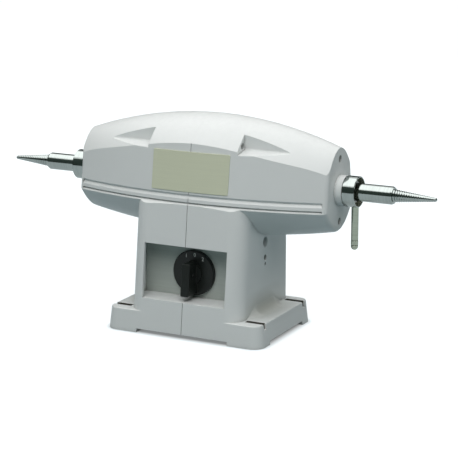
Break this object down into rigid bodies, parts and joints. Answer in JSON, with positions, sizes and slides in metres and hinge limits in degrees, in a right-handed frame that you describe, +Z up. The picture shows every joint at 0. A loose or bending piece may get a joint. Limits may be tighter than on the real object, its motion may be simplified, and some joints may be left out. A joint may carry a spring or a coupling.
{
  "type": "bench polishing machine",
  "caption": "Double-ended bench polishing motor: barrel housing on a column and slotted base, taper spindles, release ring with lever, and a rotary switch in a recess.",
  "frame": {"origin": "middle of the four bench slots, on the bench", "axes": "+Z up, +X along the shaft to the right, +Y to the back, away from the switch"},
  "size_m": [0.5686, 0.1522, 0.259],
  "materials": {
    "housing_white": "fine satin, pale grey-white",
    "plate_champagne": "satin champagne, bare",
    "panel_metal": "brushed grey",
    "chrome": "polished",
    "zinc": "zinc plated",
    "black_plastic": "satin black",
    "grey_plastic": "grey",
    "cast_aluminium": "as cast",
    "core_steel": "stacked sheet",
    "copper_winding": "enamelled copper",
    "bearing_steel": "ground"
  },
  "bodies": {
    "machine": {"left_housing": "housing_white", "right_housing": "housing_white", "name_plate": "plate_champagne", "upper_housing_bolts": "zinc", "upper_housing_nuts": "zinc", "lower_housing_bolt": "zinc", "lower_housing_nut": "zinc", "end_screws": "zinc", "motor_frame": "core_steel", "stator_core": "core_steel", "stator_windings": "copper_winding", "left_end_bell": "cast_aluminium", "right_end_bell": "cast_aluminium", "motor_rods": "zinc", "motor_nuts": "zinc", "left_bearing_outer": "bearing_steel", "right_bearing_outer": "bearing_steel", "bearing_spring": "bearing_steel", "left_collar": "chrome", "ring_clips": "zinc", "switch_panel": "panel_metal", "switch_dial": "black_plastic", "switch_nut": "zinc", "switch_body": "grey_plastic", "capacitor": "grey_plastic", "capacitor_clamp": "zinc", "terminal_block": "grey_plastic", "earth_screw": "zinc", "base_plate": "zinc", "base_plate_screws": "zinc", "cable_gland": "black_plastic", "gland_nut": "black_plastic"},
    "spindle": {"motor_shaft": "bearing_steel", "rotor_core": "core_steel", "rotor_end_rings": "cast_aluminium", "left_bearing_inner": "bearing_steel", "right_bearing_inner": "bearing_steel", "bearing_balls": "bearing_steel", "left_spindle": "chrome", "right_spindle": "chrome"},
    "switch": {"switch_spindle": "zinc", "switch_knob": "black_plastic", "knob_screw": "zinc"},
    "release": {"release_ring": "chrome", "release_lever": "chrome"}
  },
  "joints": [
    {"name": "spindle_spin", "type": "hinge", "parent": "machine", "child": "spindle", "pos_m": [0, 0.012, 0.18], "axis": [1, 0, 0], "continuous": true},
    {"name": "switch_turn", "type": "hinge", "parent": "machine", "child": "switch", "pos_m": [0, -0.045, 0.0735], "axis": [0, -1, 0], "range_deg": [-30, 30]},
    {"name": "release_turn", "type": "hinge", "parent": "machine", "child": "release", "pos_m": [0, 0.012, 0.18], "axis": [1, 0, 0], "range_deg": [-70, 0]}
  ]
}
